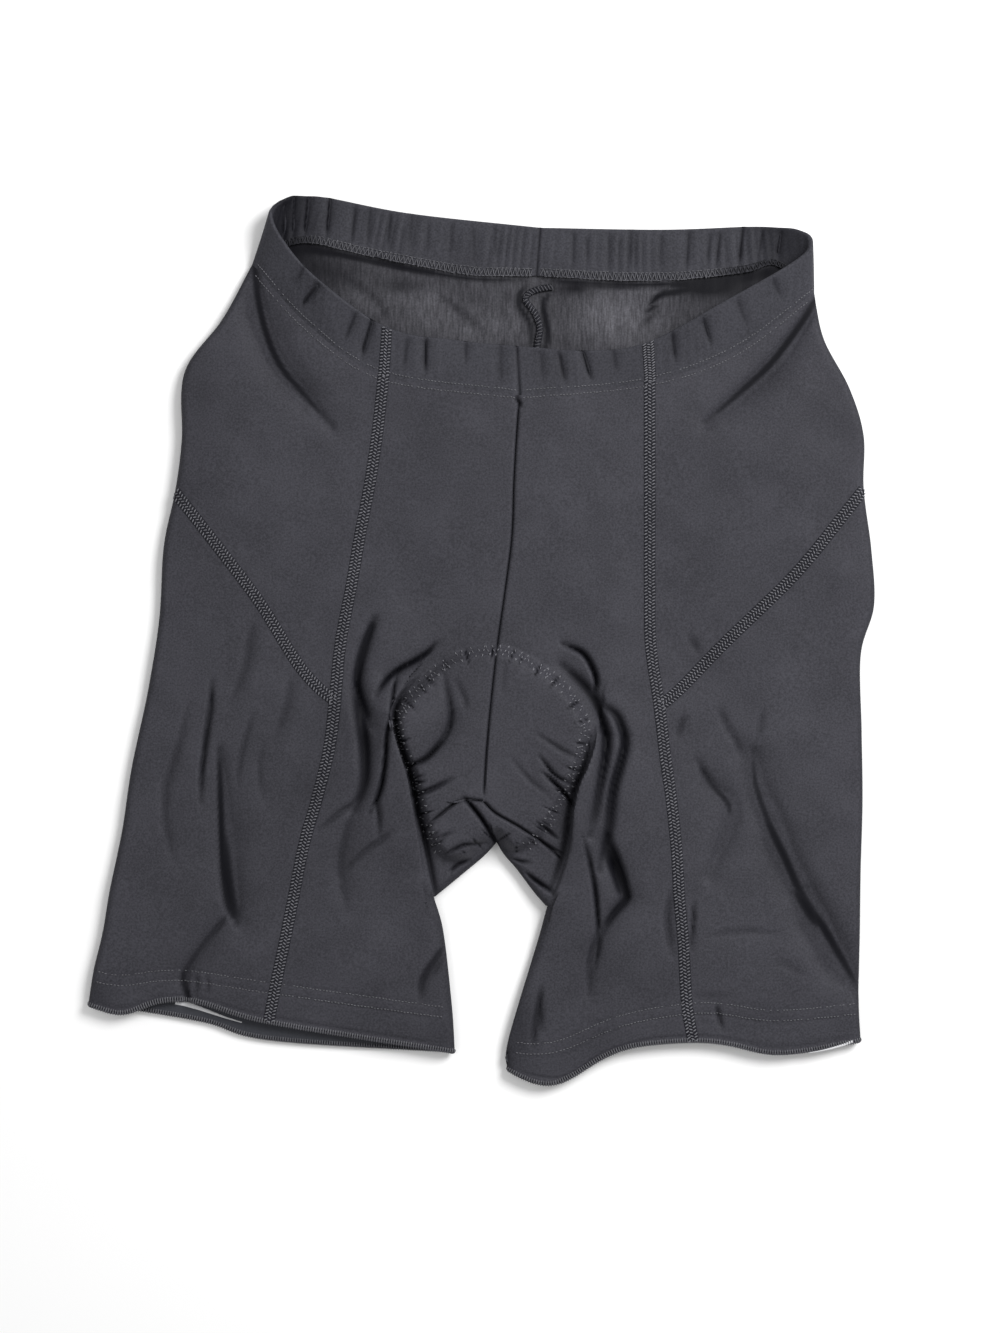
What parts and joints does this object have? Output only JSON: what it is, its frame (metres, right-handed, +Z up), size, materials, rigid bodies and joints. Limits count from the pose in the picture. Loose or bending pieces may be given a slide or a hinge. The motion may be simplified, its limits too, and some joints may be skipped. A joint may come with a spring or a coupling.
{
  "type": "cycling shorts",
  "caption": "Padded knit cycling shorts laid flat, front up, with an elastic waistband, panelled legs, gripper hems and a seat pad.",
  "frame": {"origin": "middle of the outline in plan, at the surface that the shorts lie on", "axes": "+Y towards the waist, +X to the wearer's left, +Z up from the surface, out of the front"},
  "size_m": [0.4148, 0.4674, 0.0199],
  "materials": {
    "shell_knit": "smooth matt stretch knit with a soft sheen",
    "band_knit": "the shell knit, doubled over elastic",
    "gripper_elastic": "dark elastic with a pale gripper stripe",
    "pad_foam": "dark foam pad faced with brushed knit"
  },
  "bodies": {
    "root": {"waistband": "band_knit", "front_right": "shell_knit", "front_left": "shell_knit", "hip_right": "shell_knit", "hip_left": "shell_knit", "thigh_right": "shell_knit", "thigh_left": "shell_knit", "back_right": "shell_knit", "back_left": "shell_knit", "gripper_right": "gripper_elastic", "gripper_left": "gripper_elastic", "seat_pad": "pad_foam"}
  },
  "joints": []
}
